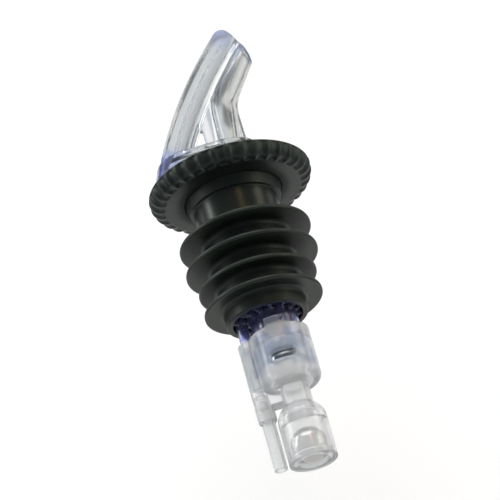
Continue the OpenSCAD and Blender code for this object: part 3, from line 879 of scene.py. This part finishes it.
given = flute_node("NodeGroupInput", {}, {})
bend = flute_node("GeometryNodeCurveArc", {}, {"Resolution": BEND_STEPS, "Start Angle": -math.pi / 2})
section = flute_node("GeometryNodeCurvePrimitiveCircle", {}, {"Resolution": BAR_STEPS})
bar = flute_node("GeometryNodeCurveToMesh", {}, {"Fill Caps": True})
upright = flute_node("GeometryNodeTransform", {}, {"Rotation": (math.pi / 2, 0, 0)})
circle = flute_node("GeometryNodeMeshCircle", {}, {})
position = flute_node("GeometryNodeInputPosition", {}, {})
outwards = flute_node("FunctionNodeAlignRotationToVector", {"axis": "X", "pivot_axis": "Z"}, {})
placed = flute_node("GeometryNodeInstanceOnPoints", {}, {})
real = flute_node("GeometryNodeRealizeInstances", {}, {})
carve = flute_node("GeometryNodeMeshBoolean", {"operation": "DIFFERENCE", "solver": "MANIFOLD"}, {})
coloured = flute_node("GeometryNodeSetMaterial", {}, {})
result = flute_node("NodeGroupOutput", {}, {})
print("flutes' group:", len(flutes.nodes), "nodes")

# %% Link the flutes' nodes
for source, output, target, entry in [
        (given, "Bend", bend, "Radius"),
        (given, "Sweep", bend, "Sweep Angle"),
        (given, "Bar", section, "Radius"),
        (bend, "Curve", bar, "Curve"),
        (section, "Curve", bar, "Profile Curve"),
        (bar, "Mesh", upright, "Geometry"),
        (given, "Height", upright, "Translation"),
        (given, "Flutes", circle, "Vertices"),
        (given, "Circle", circle, "Radius"),
        (circle, "Mesh", placed, "Points"),
        (upright, "Geometry", placed, "Instance"),
        (position, "Position", outwards, "Vector"),
        (outwards, "Rotation", placed, "Rotation"),
        (placed, "Instances", real, "Geometry"),
        (given, "Blank", carve, "Mesh 1"),
        (real, "Geometry", carve, "Mesh 2"),
        (carve, "Mesh", coloured, "Geometry"),
        (given, "Finish", coloured, "Material"),
        (coloured, "Geometry", result, "Geometry")]:
    flutes.links.new(source.outputs[output], target.inputs[entry])
print("flutes' group:", len(flutes.links), "links")

# %% [markdown]
# The group's inputs are set by their identifiers, before the collar is first evaluated. The carved ring is
# baked to a plain mesh, and a light softening rounds the ridges between the flutes.

# %% Cut the flutes round the edge
FLUTES = 36
FLUTE_R = 1.8
FLUTE_DEPTH = 0.4
FLUTE_RUN = math.radians(5)
COLLAR_VOXEL = 0.17 * MM

carving = collar_ring.modifiers.new("flutes", "NODES")
carving.node_group = flutes
sockets = {item.name: item.identifier for item in flutes.interface.items_tree if item.in_out == "INPUT"}
for label, value in {
        "Flutes": FLUTES,
        "Circle": (COLLAR_R - EDGE_ROUND) * MM,
        "Height": (0.0, 0.0, EDGE_ROUND * MM),
        "Bend": (EDGE_ROUND - FLUTE_DEPTH + FLUTE_R) * MM,
        "Bar": FLUTE_R * MM,
        "Sweep": math.pi / 2 + FLUTE_RUN,
        "Finish": collar_black.material}.items():
    carving[sockets[label]] = value
baked(collar_ring)
print("fluted collar", len(collar_ring.data.polygons), "faces")
stand_in_for(soften(collar_ring, COLLAR_VOXEL, rounds=1, last_rounds=2), "collar", collar_black)

# %% [markdown]
# ## The cork
# The cork is a moulded rubber plug with four thin fins that bend into the bottle's neck. Every fin has a
# round rim and runs into the core with a fillet. A turned outline says all of that in one list, and the
# mesh stays light.

# %% Turn the cork
CORK_STEPS = 192
CORK_END = -28.6
CORE_R = 8.9
CORE_TAPER = 0.6
CORK_MOUTH_EDGE = 0.15
CORK_FOOT_EDGE = 0.35
CORK_BORE_EDGE = 0.2
RING_R = 9.4
RING_H = 2.2
RING_TOP_EDGE = 0.3
RING_LOW_EDGE = 0.22
RING_FILLET = 0.25
# Depth below the collar and radius of each fin
FINS = ((10.1, 13.6), (15.7, 13.6), (20.4, 12.1), (25.1, 12.1))
FIN_RIM = 0.8
FIN_ROOT = 1.8
FIN_DROOP = 0.6
FIN_FILLET = 0.9
FIN_EDGE = 0.34


def core_radius(depth):
    """Radius of the core between the fins, which narrows with depth."""
    return CORE_R + CORE_TAPER * depth / CORK_END


cork_corners = [
    (CORK_BORE_R, CORK_RECESS, CORK_MOUTH_EDGE),
    (CORK_TOP_R, CORK_RECESS, FINE_EDGE),
    (CORK_TOP_R, 0, RING_TOP_EDGE),
    (RING_R, -RING_H, RING_LOW_EDGE),
    (core_radius(RING_H), -RING_H, RING_FILLET),
]
for depth, radius in FINS:
    root_top = depth - FIN_DROOP - FIN_ROOT / 2
    root_low = depth - FIN_DROOP + FIN_ROOT / 2
    cork_corners += [
        (core_radius(root_top), -root_top, FIN_FILLET),
        (radius, -depth + FIN_RIM / 2, FIN_EDGE),
        (radius, -depth - FIN_RIM / 2, FIN_EDGE),
        (core_radius(root_low), -root_low, FIN_FILLET),
    ]
cork_corners += [
    (core_radius(-CORK_END), CORK_END, CORK_FOOT_EDGE),
    (CORK_BORE_R, CORK_END, CORK_BORE_EDGE),
]
cork_plug = lathe("cork_plug", filleted(cork_corners), CORK_STEPS)
stand_in_for(cork_plug, "cork", cork_black)
print("cork", len(cork_plug.data.polygons), "faces")

# %% [markdown]
# ## The balls
# Each ball is a sphere where its solid lies at rest. A remeshed copy would ripple the reflections in the
# steel, so the sphere is made of even rings. It rides on its own body and slides with its joint.

# %% Set the balls in place
BALL_STEPS = 72
for node in ("timing_ball", "reset_ball", "breather_ball"):
    low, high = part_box(node)
    ball_r = (high.x - low.x) / 2
    bm = bmesh.new()
    bmesh.ops.create_uvsphere(bm, u_segments=BALL_STEPS, v_segments=BALL_STEPS // 2, radius=ball_r,
                              matrix=Matrix.Translation((low + high) / 2))
    ball = object_from(bm, node + "_fine")
    ball.data.shade_smooth()
    stand_in_for(ball, node, steel)
    print(node, "radius", round(ball_r / MM, 3), "mm")

# %% [markdown]
# ## The sheet
# The pourer is shown as if it lay on a white sheet under a big window. The sheet is parallel to the line
# that the collar and the cage would rest on, and stands a little behind it, so that the shadow stays soft.

# %% Find the sheet's plane
SHEET_GAP = 40 * MM
collar_rest = Vector((0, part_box("collar")[1].y, 0))
cage_low, cage_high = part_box("valve_cage")
cage_rest = Vector((0, cage_high.y, cage_low.z))
sheet_right = Vector((1, 0, 0))
sheet_up = (collar_rest - cage_rest).normalized()
sheet_normal = sheet_right.cross(sheet_up)
sheet_middle = collar_rest - SHEET_GAP * sheet_normal
print("sheet faces", [round(v, 3) for v in sheet_normal])

# %% [markdown]
# Half of the sheet's white is its own colour under the lamps, which keeps the pourer's shadow. The other
# half glows, and only for the camera, for what is seen through clear plastic and, less, for gloss. More
# lamp light could make it white too, but would wash out the pourer. From behind, the sheet is clear, and
# its far part is clear to the camera, so that from the side its edge doesn't cross the picture.

# %% Lay the sheet
SHEET_SIZE = 3.0
SHEET_FADE = (0.15, 0.35)
SHEET_SHADES = (0.47, 0.49)
SHEET_GLOW = 0.49
SHEET_GLOSS = 0.34
FIBRE_SCALE = 60


def grey(level):
    """An opaque grey."""
    return (level, level, level, 1)


def card(name, centre, across, along, size, finish):
    """A flat rectangle about centre, facing across x along, that isn't part of the pourer."""
    width, height = size
    bm = bmesh.new()
    corners = [(-0.5, -0.5), (0.5, -0.5), (0.5, 0.5), (-0.5, 0.5)]
    bm.faces.new([bm.verts.new(centre + a * width * across + b * height * along) for a, b in corners])
    obj = object_from(bm, name)
    dress(obj, finish)
    return obj


paper = Finish("white sheet", Roughness=0.9)
in_view = paper.ray("Is Camera Ray")
shown = in_view.larger(paper.ray("Is Transmission Ray"))
in_gloss = paper.mix(paper.ray("Is Glossy Ray"), grey(0), grey(SHEET_GLOSS))
paper.shade({
    "Base Color": paper.mix(paper.noise(FIBRE_SCALE), *[grey(level) for level in SHEET_SHADES]),
    "Emission Color": paper.mix(shown, in_gloss, grey(SHEET_GLOW)),
    "Emission Strength": 1.0,
})
reach = paper.vector("DISTANCE", paper.position, sheet_middle, "Value")
from_behind = paper.node("ShaderNodeNewGeometry", {}, {}, "Backfacing")
cleared = from_behind.larger(in_view * reach.ramp(*SHEET_FADE))
opaque = Wire(paper, paper.shader.outputs["BSDF"])
see_through = paper.node("ShaderNodeBsdfTransparent", {}, {})
one_sided = paper.node("ShaderNodeMixShader", {}, {0: cleared, 1: opaque, 2: see_through})
paper.put(paper.nodes["Material Output"], {"Surface": one_sided})
card("sheet", sheet_middle, sheet_right, sheet_up, (SHEET_SIZE, SHEET_SIZE), paper)
print("sheet", SHEET_SIZE, "m wide, clear to the camera past", SHEET_FADE[1], "m")

# %% [markdown]
# ## Lamps
# A tall narrow key lamp on the left draws one clean streak down the clear plastic. A warm fill on the right
# and a broad lamp overhead lift the rest. A small amber lamp near the front gives the polished neck its
# brown glint. It stands off the middle, so that no flat face of the spout mirrors it to the camera.

# %% Hang the lamps
NEUTRAL = (1, 1, 1)
WARM = (1.0, 0.88, 0.72)
AMBER = (1.0, 0.62, 0.30)
# Name, direction from the pourer, distance and size in metres, watts and colour
LAMPS = [
    ("key", (-0.87, -0.25, 0.44), 0.6, (0.08, 0.5), 1.0, NEUTRAL),
    ("fill", (0.90, -0.35, 0.10), 0.6, (0.2, 0.6), 0.7, WARM),
    ("overhead", (0.0, -0.55, 0.85), 0.7, (0.6, 0.3), 2.0, NEUTRAL),
    ("glint", (0.27, -0.85, 0.44), 0.6, (0.05, 0.2), 0.12, AMBER),
]
for name, towards, distance, size, watts, colour in LAMPS:
    light = bpy.data.lights.new(name, "AREA")
    light.shape = "RECTANGLE"
    light.size, light.size_y = size
    light.energy = watts
    light.color = colour
    lamp = bpy.data.objects.new(name, light)
    direction = Vector(towards).normalized()
    lamp.location = AIM + distance * direction
    lamp.rotation_mode = "QUATERNION"
    lamp.rotation_quaternion = (-direction).to_track_quat("-Z", "Y")
    bpy.context.scene.collection.objects.link(lamp)
    print(name, "lamp", watts, "W")

# %% [markdown]
# ## World
# The world is white to the camera and through clear plastic, as the sheet is, and lights the pourer at a
# plain level. Gloss sees it much dimmer, because the black collar would turn grey under a white sky.

# %% Colour the world
WHITE = 1.0
WORLD_LIGHT = 0.75
WORLD_GLOSS = 0.25

world = bpy.data.worlds.new("studio")
world.use_nodes = True
bpy.context.scene.world = world
studio = Tree(world.node_tree)
seen = studio.ray("Is Camera Ray").larger(studio.ray("Is Transmission Ray"))
unseen = WORLD_LIGHT + (WORLD_GLOSS - WORLD_LIGHT) * studio.ray("Is Glossy Ray")
studio.put(studio.nodes["Background"], {
    "Color": grey(WHITE),
    "Strength": unseen + seen * (WHITE - unseen),
})
print("world", WHITE, "seen,", WORLD_LIGHT, "as light,", WORLD_GLOSS, "in gloss")

# %% [markdown]
# ## Flags
# Clear plastic in front of white would vanish, so in a studio dark cards, called flags, stand just outside
# the picture. One in front darkens the reflections, and two beside the sheet draw dark edges through the
# plastic. The camera doesn't see them, and they cast no shadow.

# %% Stand the flags
FLAG_SHADES = ((0.08, 0.10, 0.14, 1), (0.10, 0.12, 0.165, 1))
FLAG_SCALE = 20
FRONT_DISTANCE = 0.75
FRONT_SIZE = (1.6, 1.6)
EDGE_OUT = 110 * MM
EDGE_LIFT = 5 * MM
EDGE_SIZE = (90 * MM, 400 * MM)

flag_dark = Finish("dark flag", Roughness=1.0)
flag_dark.shade({"Base Color": flag_dark.mix(flag_dark.noise(FLAG_SCALE), *FLAG_SHADES)})


def flag(name, centre, across, along, size, through_glass):
    """A dark card that only gloss, and clear plastic if asked, can see."""
    obj = card(name, centre, across, along, size, flag_dark)
    obj.visible_camera = False
    obj.visible_diffuse = False
    obj.visible_shadow = False
    obj.visible_transmission = through_glass
    obj.visible_volume_scatter = False
    print(name, "at", [round(v, 3) for v in centre])


flag("front_flag", AIM + FRONT_DISTANCE * back, flat_right, flat_up, FRONT_SIZE, False)
for side in (-1, 1):
    edge_middle = sheet_middle + side * EDGE_OUT * sheet_right + EDGE_LIFT * sheet_normal
    flag(f"edge_flag_{side + 2}", edge_middle, sheet_right, sheet_up, EDGE_SIZE, True)

# %% [markdown]
# ## Finish
# The Standard view shows each colour about as it is written.

# %% Finish with the Standard view
bpy.context.scene.view_settings.view_transform = "Standard"
